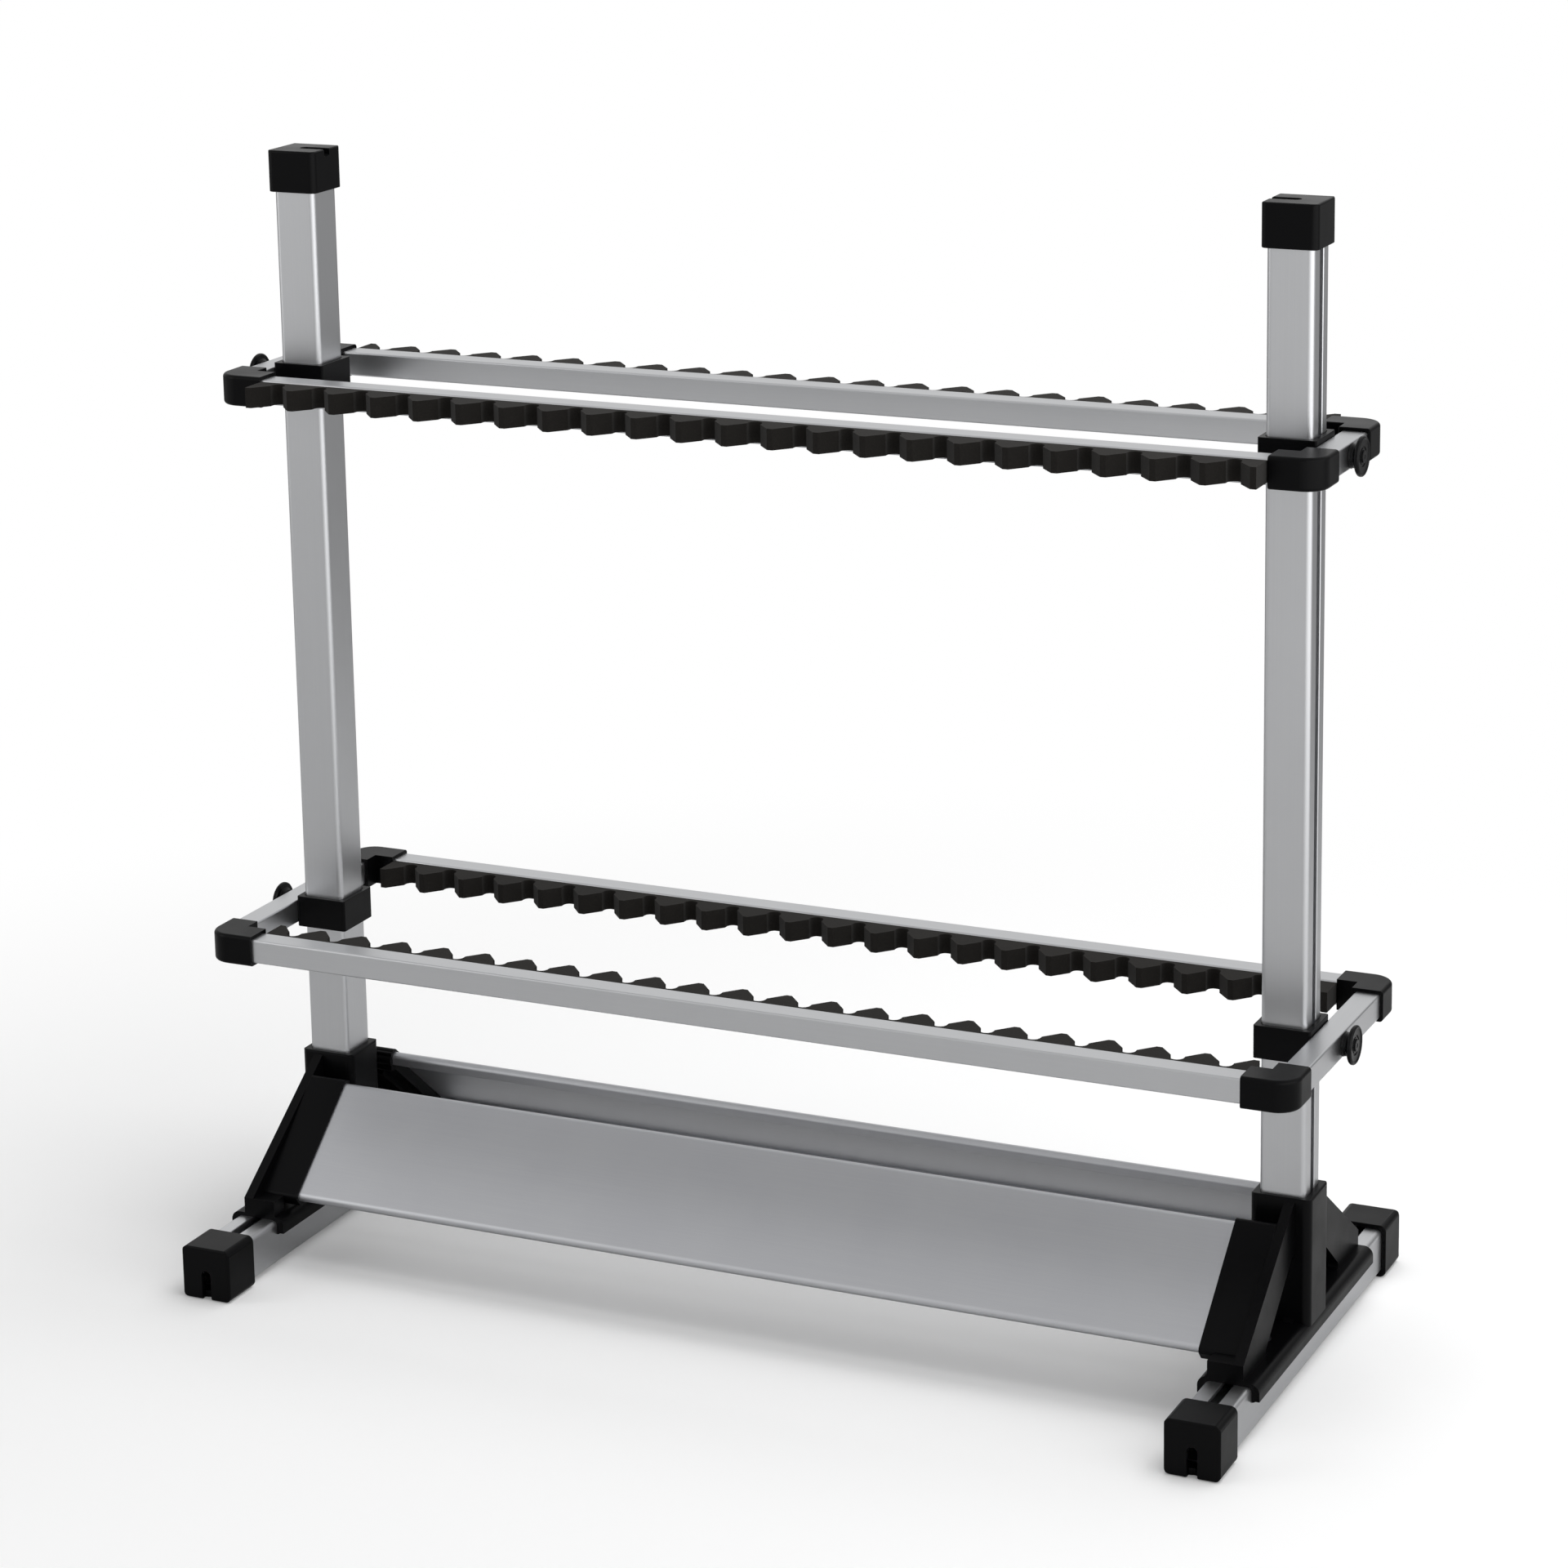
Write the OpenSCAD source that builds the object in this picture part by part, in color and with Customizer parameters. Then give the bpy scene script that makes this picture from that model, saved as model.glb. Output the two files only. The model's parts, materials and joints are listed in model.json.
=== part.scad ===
// Free-standing rack for fishing rods: two slotted posts on slotted feet, two sloping shelves
// for the rod butts, and two notched frames that slide on the posts and are clamped by knobs.
// Millimetres, +Z up, origin on the floor in the middle of the rack, front towards -Y.

/* [Overall] */
// Distance between the centres of the two posts
post_spacing = 620; // [540:1:740]
// Height of the top of the post caps above the floor
rack_height = 670; // [620:1:760]
// Length of a foot from the front of one end cap to the back of the other
foot_length = 328; // [290:1:400]

/* [Slotted bar of the posts and feet] */
// Width of the square bar
bar_w = 27; // [25:0.5:30]
// Radius of the bar's long edges
bar_corner_r = 3; // [1:0.5:4]
// Thickness of the bar's outer walls
bar_wall = 1.8; // [1.4:0.1:2.4]
// Width of the slot's mouth
slot_w = 6.4; // [6.2:0.2:10]
// Thickness of the two lips beside the mouth
slot_lip = 2.2; // [1.6:0.1:3]
// Bevel along the edges of the mouth
slot_bevel = 0.4; // [0.3:0.1:1.2]
// Width of the channel behind the lips
channel_w = 17; // [16:0.5:19]
// Depth of the channel behind the lips
channel_depth = 6; // [5.6:0.1:7]
// Outer radius of the round screw port in the middle of the bar
port_r = 4.6; // [4.2:0.1:5.5]

/* [End caps of the posts and feet] */
// Thickness of a cap's side walls
cap_wall = 2.7; // [1.6:0.1:3]
// Room between the cap and the bar, on each side
cap_gap = 0.1; // [0.05:0.05:0.2]
// Length of a foot cap
foot_cap_length = 28.5; // [24:0.5:34]
// Length of a post cap
post_cap_length = 25; // [22:0.5:34]
// Thickness of the closed end
cap_end_wall = 3; // [2.5:0.5:5]
// Radius of the cap's long edges
cap_side_r = 4; // [2:0.5:5]
// Radius of the edges of the closed end
cap_end_r = 1.4; // [1:0.2:3]
// Width of the keyhole slot
keyhole_w = 6; // [4:0.5:8]
// Length of the keyhole slot across the closed end
keyhole_across = 18; // [14:0.5:20]
// Length of the keyhole slot down the side wall
keyhole_down = 4.5; // [4:0.5:12]
// Empty room between the end of the bar and the closed end
bar_end_room = 10; // [4:0.5:12]
// Width of the shoulder inside the cap on which the end of the bar rests
cap_shoulder = 1.5; // [1:0.1:2]

/* [Base brackets] */
// Length of the saddle along the foot
saddle_length = 209; // [190:1:230]
// Thickness of the saddle on top of the foot
saddle_top_wall = 2.2; // [2:0.1:4]
// Thickness of the saddle's side lips
saddle_side_wall = 4.4; // [3:0.1:6]
// Depth of the lips, measured from the saddle's top
saddle_drop = 10; // [8:0.5:18]
// Radius of the saddle's long top edges
saddle_edge_r = 5.5; // [1:0.5:6]
// Height of the post socket above the saddle
socket_height = 74; // [66:0.5:90]
// Thickness of the socket's walls across the rack
socket_wall_x = 4.4; // [3.5:0.1:6]
// Thickness of the socket's front and rear walls
socket_wall_y = 3.6; // [3:0.1:5]
// Radius of the socket's upright edges
socket_corner_r = 5; // [2:0.5:6]
// Radius of the socket's rim
rim_r = 1.6; // [0.5:0.1:2]
// Thickness of the diagonal ribs
rib_t = 6; // [4:0.5:7]
// Distance of a rib's inner face outwards from the middle of the post
rib_offset = 2.7; // [2:0.1:6]
// Distance of a rib's upper end below the socket's rim
rib_below_rim = 2; // [1:0.5:6]
// Height of a rib's lower end above the saddle
rib_end_height = 9.5; // [8:0.5:12]
// Height of the three-sided window under a rib
window_h = 43; // [30:1:46]
// Length of the three-sided window along the foot
window_l = 53; // [40:1:56]
// Radius of the window's corners
window_corner_r = 2.5; // [1:0.5:4]
// Length of the stop block along the foot
stop_block_t = 11.2; // [8:0.2:14]
// Width of the stop block, inwards from the rib
stop_block_w = 15; // [10:0.5:17]
// Thickness of the ledge under a shelf cap
ledge_t = 3; // [2:0.5:4]
// Width of the ledge, inwards from the rib
ledge_w = 13; // [10:0.5:20]

/* [Shelves] */
// Thickness of the shelf plate
shelf_t = 2.2; // [1.5:0.1:3]
// Radius of the round nose along the shelf's lower edge and of the bend along its upper edge
nose_r = 3.3; // [2.4:0.05:3.6]
// Length of the lip that is turned down behind the upper edge
shelf_lip = 7.4; // [5:0.1:12]
// Height of the underside of the shelf's nose above the saddle
nose_above_saddle = 5.8; // [5:0.1:10]
// Distance of the shelf's upper edge below the socket's rim
ridge_below_rim = 13; // [10:0.5:18]
// Gap between the shelf's upper edge and the socket
ridge_to_socket = 9.9; // [7:0.1:14]
// Width of a shelf cap along the shelf
shelf_cap_w = 24; // [22:0.5:34]
// How far the shelf plate reaches into a cap
shelf_cap_grip = 17; // [12:0.5:19]
// How far a shelf cap stands above the plate
shelf_cap_over = 1.2; // [0.8:0.1:2]
// How far a shelf cap reaches below the nose's underside
shelf_cap_under = 3; // [2:0.1:4]
// How far a shelf cap reaches past the nose and the ridge
shelf_cap_past = 1.6; // [1:0.1:2.4]
// Radius of the shelf cap's long edges
shelf_cap_r = 3; // [1:0.5:4]

/* [Sliding frames] */
// Side of the square tubes
tube_w = 14.6; // [12:0.2:16]
// Wall of the square tubes
tube_wall = 1.3; // [1:0.1:2]
// Radius of the tubes' long edges
tube_corner_r = 1.2; // [0.6:0.1:2]
// Height of the middle of the upper frame's tubes above the floor
upper_frame_height = 531.3; // [480:0.1:560]
// Height of the middle of the lower frame's tubes above the floor
lower_frame_height = 195.5; // [180:0.1:260]
// Depth of the upper frame over its front and rear tubes
upper_frame_depth = 110.2; // [104:1:150]
// Depth of the lower frame over its front and rear tubes
lower_frame_depth = 186.4; // [150:1:230]

/* [Corner connectors] */
// Wall of a connector around the tubes
connector_wall = 2; // [1.8:0.1:3]
// Length of the arm along the front or rear tube
connector_arm_x = 31; // [28:0.5:40]
// Length of the arm along the side tube
connector_arm_y = 29.1; // [26:0.1:32]
// Radius of the connector's outer corner
connector_r = 13.6; // [8:0.2:16]
// Radius of the outer corner's top and bottom edges
connector_edge_r = 2.2; // [1:0.1:3]
// Room between a connector and a tube, on each side
connector_gap = 0.1; // [0.05:0.05:0.2]

/* [Foam combs] */
// Distance from one rod notch to the next
notch_pitch = 28.2; // [25:0.2:34]
// Width of a rod notch
notch_w = 8.4; // [6:0.2:10]
// Depth of a comb from its back to the tips of its lobes
comb_depth = 18.6; // [17:0.2:24]
// Foam left behind a notch
comb_back = 3; // [2:0.5:5]
// Depth at which the notch opens out into its mouth
mouth_depth = 9.3; // [9.2:0.1:12]
// Width of the flat tip of a lobe
lobe_tip_w = 3.4; // [2:0.2:6]
// Height of a comb
comb_height = 12.2; // [8:0.2:13]
// Room between the end of a comb and a connector
comb_end_gap = 0.4; // [0.2:0.1:1]

/* [Post collars] */
// Running room between a collar and the post, on each side
collar_gap = 0.3; // [0.2:0.05:0.4]
// Wall of a collar
collar_wall = 3; // [2.4:0.1:5]
// How far a collar stands above the frame's tubes
collar_above = 2.8; // [1:0.1:5]
// How far a collar hangs below the frame's tubes
collar_below = 1.9; // [1:0.1:5]
// Radius of the collar's upright edges
collar_corner_r = 1.5; // [0.5:0.1:3]

/* [Clamp knobs] */
// Radius of the threaded stud
stud_r = 2.5; // [2:0.1:3]
// Room around the stud where it passes through tube and collar
stud_room = 0.4; // [0.3:0.1:0.8]
// Radius of the knob's disc
knob_r = 11.2; // [9:0.1:13]
// Height of the knob over its rim
knob_height = 7.4; // [7:0.1:9]
// Thickness of the knob's disc
knob_disc_t = 3.2; // [2.6:0.1:4]
// Radius of the knob's neck
knob_neck_r = 6.8; // [5.5:0.1:8]
// Depth of the dished face inside the rim
knob_dish = 0.9; // [0.5:0.1:1.4]
// Radius of the button in the middle of the knob
knob_button_r = 3.6; // [3:0.1:4.5]

/* [Slot nuts and screws] */
// Thickness of a slot nut
nut_t = 3.5; // [3:0.1:4]
// Room between a slot nut and the channel's side walls, on each side
nut_side_gap = 0.5; // [0.3:0.1:1]
// Room between a slot nut and the slot's lips
nut_lip_gap = 0.2; // [0.1:0.05:0.3]
// Running room around the stud in its nut
nut_thread_gap = 0.05; // [0.03:0.01:0.08]
// How far a stud or screw stands out of its nut
thread_past_nut = 1; // [0.9:0.1:1.4]
// Radius of the screws that hold a bracket on its foot
bracket_screw_r = 2.5; // [2:0.1:3]
// Distance of a bracket screw from the middle of the foot
bracket_screw_y = 44; // [36:1:56]
// Radius of the long screw that pulls a post down into its socket
post_screw_r = 3; // [2.5:0.1:3.5]
// How far the long screw reaches into the post
post_screw_reach = 30; // [20:1:50]
// Radius of the screws that hold the shelf caps
shelf_screw_r = 1.75; // [1.5:0.05:2.2]
// Room around a screw in its clearance hole
screw_room = 0.25; // [0.1:0.05:0.4]

/* [Hidden] */
$fn = 64;

// Finishes as the eye sees them
satin_aluminium = "#b4b7bb";
black_plastic = "#1f2022";
black_foam = "#26241f";
knob_plastic = "#17181a";
zinc_steel = "#8f9092";
dark_steel = "#3a3b3d";

// Small overlap that lets a cut pass cleanly through a face
cut = 1;

// Places of the feet and posts
post_x = post_spacing / 2;
bar_half = bar_w / 2;
cap_w = bar_w + 2 * (cap_wall + cap_gap);
rail_z = cap_w / 2;
rail_top = rail_z + bar_half;
rail_length = foot_length - 2 * (cap_end_wall + bar_end_room);
post_top = rack_height - cap_end_wall - bar_end_room;
channel_floor = bar_half - slot_lip - channel_depth;
hollow_top = channel_floor - bar_wall;

// Places on a base bracket
saddle_top = rail_top + saddle_top_wall;
saddle_half = saddle_length / 2;
saddle_half_w = bar_half + cap_gap + saddle_side_wall;
rim_z = saddle_top + socket_height;
socket_half_x = bar_half + cap_gap + socket_wall_x;
socket_half_y = bar_half + cap_gap + socket_wall_y;
rib_x = post_x + rib_offset;
stop_y = saddle_half - stop_block_t;
stop_z = saddle_top + rib_end_height;

// Centres of the shelf's nose and ridge in the front-to-rear plane, and the slope between them
shelf_cap_room = 0.2;
shelf_cap_nose = [nose_r + shelf_cap_past - shelf_cap_r, nose_r + shelf_cap_over - shelf_cap_r];
shelf_cap_reach = norm(shelf_cap_nose) + shelf_cap_r;
nose = [stop_y - shelf_cap_reach - shelf_cap_room, saddle_top + nose_above_saddle + nose_r];
ridge = [socket_half_y + ridge_to_socket + nose_r, rim_z - ridge_below_rim - nose_r];
slope_run = norm(ridge - nose);
slope_angle = atan2(ridge[1] - nose[1], nose[0] - ridge[0]);
shelf_cap_bottom = nose_r + shelf_cap_under;
shelf_cap_inner = rib_x - shelf_cap_w;
shelf_half = shelf_cap_inner + shelf_cap_grip;
shelf_screw_at = 0.45 * slope_run;
shelf_screw_x = rib_x - ledge_w / 2;
shelf_screw_bite = 3.2;
ledge_from_cap = 6;
lip_cover_r = 1.4;
shelf_cap_play = 0.1;

// Places on the sliding frames
collar_half = bar_half + collar_gap + collar_wall;
side_tube_in = post_x + collar_half;
side_tube_out = side_tube_in + tube_w;
connector_w = tube_w + 2 * connector_wall;
connector_out = side_tube_out + connector_wall;
front_tube_half = connector_out - connector_w;
comb_half = connector_out - connector_arm_x - comb_end_gap;
notch_count = 2 * floor(comb_half / notch_pitch);
comb_drop = 0.8;

// Places along a clamp, outwards from the middle of the post
nut_out = bar_half - slot_lip - nut_lip_gap;
nut_in = nut_out - nut_t;
nut_w = channel_w - 2 * nut_side_gap;
knob_seat = collar_half + tube_w;
stud_in_knob = knob_height - knob_dish - 1.2;
stud_bevel = 0.5;

// Bevels, rim and button groove of a clamp knob
knob_rim_w = 2;
knob_rim_slope = 1;
knob_foot_flare = 0.7;
knob_neck_flare = 1.6;
knob_edge = 0.9;
groove_in = 1;
groove_out = 2.2;
groove_depth = 0.5;

// Head of a button head screw, in shares of its thread's radius
head_r = 1.85;
head_h = 1.1;
head_top_r = 1.33;
hex_r = 0.66;
hex_depth = 0.6;

// Hole through the underside of a foot for the head of the long screw, in the same shares
access_r = 2.2;

// Bevel at the corners of a slot nut
nut_chamfer = 1.2;

// A rectangle with round corners, centred
module round_rect(w, h, r) {
    square([w - 2 * r, h], center = true);
    square([w, h - 2 * r], center = true);
    for (x = [-1, 1], y = [-1, 1])
        translate([x * (w / 2 - r), y * (h / 2 - r)])
            circle(r);
}

// A rectangle that stands on y = 0 and has its two upper corners rounded
module arch_rect(w, h, r) {
    translate([-w / 2, 0])
        square([w, h - r]);
    translate([-w / 2 + r, 0])
        square([w - 2 * r, h]);
    for (x = [-1, 1])
        translate([x * (w / 2 - r), h - r])
            circle(r);
}

// Draws its children on the left or the right, which are mirror images
module on_side(side) {
    mirror([side < 0 ? 1 : 0, 0, 0])
        children();
}

// Draws its children at the front or the rear, which are mirror images
module at_end(end) {
    mirror([0, end < 0 ? 1 : 0, 0])
        children();
}

// The section of the slotted bar, with its slot towards +Y and a screw port in its middle
module bar_section() {
    mouth_half = slot_w / 2;
    difference() {
        round_rect(bar_w, bar_w, bar_corner_r);
        translate([-mouth_half, channel_floor])
            square([slot_w, bar_half]);
        polygon([
            [-mouth_half - slot_bevel, bar_half], [-mouth_half, bar_half - slot_bevel],
            [mouth_half, bar_half - slot_bevel], [mouth_half + slot_bevel, bar_half],
            [mouth_half, bar_half + cut], [-mouth_half, bar_half + cut]
        ]);
        translate([-channel_w / 2, channel_floor])
            square([channel_w, channel_depth]);
        difference() {
            translate([-bar_half + bar_wall, -bar_half + bar_wall])
                square([bar_w - 2 * bar_wall, bar_half - bar_wall + hollow_top]);
            circle(port_r);
            translate([-bar_wall / 2, -bar_half])
                square([bar_wall, bar_half]);
        }
        circle(post_screw_r);
    }
}

// A cap over the end of a bar: closed end up, open end on z = 0, keyhole slot towards -Y.
// The bar stops on a shoulder, which leaves an empty room above its end
module end_cap(length) {
    inside = bar_w + 2 * cap_gap;
    room_w = inside - 2 * cap_shoulder;
    room_top = length - cap_end_wall;
    round_end = keyhole_across - cap_w / 2 - keyhole_w / 2;
    difference() {
        intersection() {
            linear_extrude(length)
                round_rect(cap_w, cap_w, cap_side_r);
            rotate([90, 0, 0])
                linear_extrude(cap_w, center = true)
                    arch_rect(cap_w, length, cap_end_r);
            rotate([90, 0, 90])
                linear_extrude(cap_w, center = true)
                    arch_rect(cap_w, length, cap_end_r);
        }
        translate([0, 0, -cut])
            linear_extrude(room_top - bar_end_room + cut)
                round_rect(inside, inside, bar_corner_r);
        translate([0, 0, room_top - bar_end_room - cut])
            linear_extrude(bar_end_room + cut)
                round_rect(room_w, room_w, bar_corner_r);
        translate([0, 0, room_top - cut])
            linear_extrude(cap_end_wall + 2 * cut) {
                translate([0, round_end])
                    circle(d = keyhole_w);
                translate([-keyhole_w / 2, -cap_w / 2 - cut])
                    square([keyhole_w, cap_w / 2 + cut + round_end]);
            }
        translate([0, -room_w / 2 + cut, 0])
            rotate([90, 0, 0])
                linear_extrude(cap_w) {
                    translate([0, length - keyhole_down + keyhole_w / 2])
                        circle(d = keyhole_w);
                    translate([-keyhole_w / 2, length - keyhole_down + keyhole_w / 2])
                        square([keyhole_w, length]);
                }
    }
}

// A button head screw along -Z with the underside of its head on z = 0
module button_screw(r, length) {
    head_top = head_h * r;
    difference() {
        union() {
            translate([0, 0, -length])
                cylinder(r = r, h = length);
            cylinder(r1 = head_r * r, r2 = head_top_r * r, h = head_top);
        }
        translate([0, 0, head_top - hex_depth * r])
            cylinder(r = hex_r * r, h = r, $fn = 6);
    }
}

// A square nut along Z, with its upper face on z = 0
module slot_nut(bore_r) {
    half = nut_w / 2;
    edge = half - nut_chamfer;
    difference() {
        translate([0, 0, -nut_t])
            linear_extrude(nut_t)
                polygon([
                    [-edge, -half], [edge, -half], [half, -edge], [half, edge],
                    [edge, half], [-edge, half], [-half, edge], [-half, -edge]
                ]);
        translate([0, 0, -nut_t - cut])
            cylinder(r = bore_r, h = nut_t + 2 * cut);
    }
}

// A foot rail on the right, slot up, drilled from below for the long post screw
module foot_rail() {
    translate([post_x, 0, rail_z])
        difference() {
            rotate([90, 0, 0])
                linear_extrude(rail_length, center = true)
                    bar_section();
            cylinder(r = post_screw_r + screw_room, h = bar_w);
            translate([0, 0, -bar_half - cut])
                cylinder(r = access_r * post_screw_r, h = bar_half + cut + hollow_top);
        }
}

// A foot cap at the front right
module foot_cap() {
    translate([post_x, -foot_length / 2 + foot_cap_length, rail_z])
        rotate([90, 0, 0])
            end_cap(foot_cap_length);
}

// The saddle of a bracket, which lies over the right foot rail
module saddle() {
    base = saddle_top - saddle_drop;
    translate([post_x, 0, 0])
        rotate([90, 0, 0])
            linear_extrude(saddle_length, center = true)
                difference() {
                    translate([0, base])
                        arch_rect(2 * saddle_half_w, saddle_drop, saddle_edge_r);
                    translate([0, base - cut])
                        arch_rect(bar_w + 2 * cap_gap, rail_top - base + cut, bar_corner_r);
                }
}

// The socket of a bracket, in which the right post stands
module socket() {
    height = rim_z - rail_top;
    inside = bar_w + 2 * cap_gap;
    translate([post_x, 0, rail_top])
        difference() {
            intersection() {
                linear_extrude(height)
                    round_rect(2 * socket_half_x, 2 * socket_half_y, socket_corner_r);
                rotate([90, 0, 0])
                    linear_extrude(2 * socket_half_y, center = true)
                        arch_rect(2 * socket_half_x, height, rim_r);
                rotate([90, 0, 90])
                    linear_extrude(2 * socket_half_x, center = true)
                        arch_rect(2 * socket_half_y, height, rim_r);
            }
            translate([0, 0, saddle_top_wall])
                linear_extrude(height)
                    round_rect(inside, inside, bar_corner_r);
        }
}

// The unit vector along v
function unit(v) = v / norm(v);

// Points of the arc of radius r that rounds the corner p between its two neighbours
function corner_arc(p, before, after, r, steps = 8) =
    let (
        to_before = unit(before - p),
        to_after = unit(after - p),
        half_angle = acos(to_before * to_after) / 2,
        middle = p + unit(to_before + to_after) * r / sin(half_angle),
        outward = atan2(p[1] - middle[1], p[0] - middle[0])
    )
    [for (k = [0 : steps])
        let (turn = outward + (2 * k / steps - 1) * (90 - half_angle))
        middle + r * [cos(turn), sin(turn)]];

// A triangle with round corners, its corners given anticlockwise
module round_triangle(p, r) {
    polygon([for (k = [0 : 2]) each corner_arc(p[k], p[(k + 2) % 3], p[(k + 1) % 3], r)]);
}

// The front diagonal rib of the right bracket, with its three-sided window
module front_rib() {
    start_z = rim_z - rib_below_rim;
    translate([rib_x, 0, 0])
        rotate([90, 0, 90])
            linear_extrude(rib_t)
                difference() {
                    polygon([
                        [-socket_half_y + cut, rail_top], [-saddle_half, rail_top],
                        [-saddle_half, stop_z], [-socket_half_y, start_z],
                        [-socket_half_y + cut, start_z]
                    ]);
                    round_triangle([
                        [-socket_half_y, saddle_top],
                        [-socket_half_y, saddle_top + window_h],
                        [-socket_half_y - window_l, saddle_top]
                    ], window_corner_r);
                }
}

// The stop block at the foot of the front rib
module front_stop() {
    translate([rib_x - stop_block_w, -saddle_half, rail_top])
        cube([stop_block_w + rib_t, stop_block_t, stop_z - rail_top]);
}

// Puts its children in the front shelf's slope: X stays, Y runs up the slope from the nose
module on_front_slope() {
    translate([0, -nose[0], nose[1]])
        rotate([slope_angle, 0, 0])
            children();
}

// The ledge on the front rib, under the shelf cap
module front_ledge() {
    start = nose_r + shelf_cap_past + ledge_from_cap;
    end = slope_run - shelf_lip - 2 * shelf_cap_past;
    difference() {
        on_front_slope()
            translate([rib_x - ledge_w, start, -shelf_cap_bottom - ledge_t])
                cube([ledge_w + rib_t / 2, end - start, ledge_t]);
        on_front_slope()
            translate([shelf_screw_x, shelf_screw_at, -shelf_cap_bottom - 2 * ledge_t])
                cylinder(r = shelf_screw_r + screw_room, h = 4 * ledge_t);
    }
}

// A complete base bracket on the right
module base_bracket() {
    difference() {
        union() {
            saddle();
            socket();
            for (end = [1, -1])
                at_end(end) {
                    front_rib();
                    front_stop();
                    front_ledge();
                }
        }
        translate([post_x, 0, rail_top - cut])
            cylinder(r = post_screw_r + screw_room, h = saddle_top_wall + 2 * cut);
        for (end = [-1, 1])
            translate([post_x, end * bracket_screw_y, rail_top - cut])
                cylinder(r = bracket_screw_r + screw_room, h = saddle_top_wall + 2 * cut);
    }
}

// The screws and slot nuts that hold the right bracket on its foot
module bracket_screw_pair() {
    length = saddle_top_wall + slot_lip + nut_lip_gap + nut_t + thread_past_nut;
    for (end = [-1, 1])
        translate([post_x, end * bracket_screw_y, saddle_top])
            button_screw(bracket_screw_r, length);
}

module bracket_nut_pair() {
    for (end = [-1, 1])
        translate([post_x, end * bracket_screw_y, rail_top - slot_lip - nut_lip_gap])
            slot_nut(bracket_screw_r);
}

// The long screw from the right foot up into the post, head down
module post_screw() {
    seat = rail_z + hollow_top;
    translate([post_x, 0, seat])
        mirror([0, 0, 1])
            button_screw(post_screw_r, saddle_top - seat + post_screw_reach);
}

// A post on the right, slot outwards
module post() {
    translate([post_x, 0, saddle_top])
        rotate([0, 0, -90])
            linear_extrude(post_top - saddle_top)
                bar_section();
}

// A post cap on the right, keyhole slot inwards
module post_cap() {
    translate([post_x, 0, rack_height - post_cap_length])
        rotate([0, 0, -90])
            end_cap(post_cap_length);
}

// The front shelf: a sloping plate with a round nose and a lip turned down behind its ridge
module shelf() {
    on_front_slope()
        rotate([90, 0, 90])
            linear_extrude(2 * shelf_half, center = true) {
                circle(nose_r);
                translate([0, nose_r - shelf_t])
                    square([slope_run, shelf_t]);
                translate([slope_run, 0])
                    ridge_section();
            }
}

// The bend at the top of the shelf and its lip, which hangs straight down
module ridge_section() {
    difference() {
        circle(nose_r);
        circle(nose_r - shelf_t);
        rotate(-slope_angle)
            translate([-2 * nose_r, -2 * nose_r])
                square([4 * nose_r, 2 * nose_r]);
        translate([-2 * nose_r, -2 * nose_r])
            square([2 * nose_r, 4 * nose_r]);
    }
    rotate(-slope_angle)
        translate([nose_r - shelf_t, -shelf_lip + nose_r])
            square([shelf_t, shelf_lip - nose_r]);
}

// The outline of a shelf cap across the shelf, in the slope's own axes
module shelf_cap_outline() {
    past = nose_r + shelf_cap_past;
    top = nose_r + shelf_cap_over;
    length = slope_run + 2 * past;
    height = top + shelf_cap_bottom;
    translate([slope_run / 2, top - height / 2])
        round_rect(length, height, shelf_cap_r);
    translate([slope_run, 0])
        rotate(-slope_angle)
            translate([nose_r - shelf_t / 2, -shelf_lip / 2 + nose_r / 2])
                round_rect(shelf_t + 2 * shelf_cap_past, shelf_lip + shelf_cap_past + nose_r, lip_cover_r);
}

// The pocket in a shelf cap that takes the end of the plate
module shelf_cap_pocket() {
    room = shelf_cap_play;
    circle(nose_r + room);
    translate([0, nose_r - shelf_t - room])
        square([slope_run, shelf_t + 2 * room]);
    translate([slope_run, 0])
        circle(nose_r + room);
    translate([slope_run, 0])
        rotate(-slope_angle)
            translate([nose_r - shelf_t - room, -shelf_lip + nose_r - room])
                square([shelf_t + 2 * room, shelf_lip - nose_r + room]);
}

// The cap on the right end of the front shelf
module shelf_cap() {
    difference() {
        on_front_slope()
            translate([shelf_cap_inner, 0, 0])
                rotate([90, 0, 90])
                    difference() {
                        linear_extrude(shelf_cap_w)
                            shelf_cap_outline();
                        translate([0, 0, -cut])
                            linear_extrude(shelf_cap_grip + cut)
                                shelf_cap_pocket();
                    }
        on_front_slope()
            translate([shelf_screw_x, shelf_screw_at, -shelf_cap_bottom - cut])
                cylinder(r = shelf_screw_r, h = shelf_screw_bite + cut);
    }
}

// The screw that holds the right cap of the front shelf on its ledge
module shelf_cap_screw() {
    on_front_slope()
        translate([shelf_screw_x, shelf_screw_at, -shelf_cap_bottom - ledge_t])
            mirror([0, 0, 1])
                button_screw(shelf_screw_r, ledge_t + shelf_screw_bite);
}

// The section of a frame tube
module tube_section() {
    inside = tube_w - 2 * tube_wall;
    difference() {
        round_rect(tube_w, tube_w, tube_corner_r);
        square(inside, center = true);
    }
}

// The front tube of a frame whose depth and height are given
module long_tube(depth, height) {
    translate([0, -depth / 2 + tube_w / 2, height])
        rotate([90, 0, 90])
            linear_extrude(2 * front_tube_half, center = true)
                tube_section();
}

// The right tube of a frame, drilled for the clamp's stud
module side_tube(depth, height) {
    length = depth + 2 * connector_wall - 2 * connector_w;
    translate([side_tube_in + tube_w / 2, 0, height])
        difference() {
            rotate([90, 0, 0])
                linear_extrude(length, center = true)
                    tube_section();
            rotate([0, 90, 0])
                cylinder(r = stud_r + stud_room, h = 2 * tube_w, center = true);
        }
}

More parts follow.
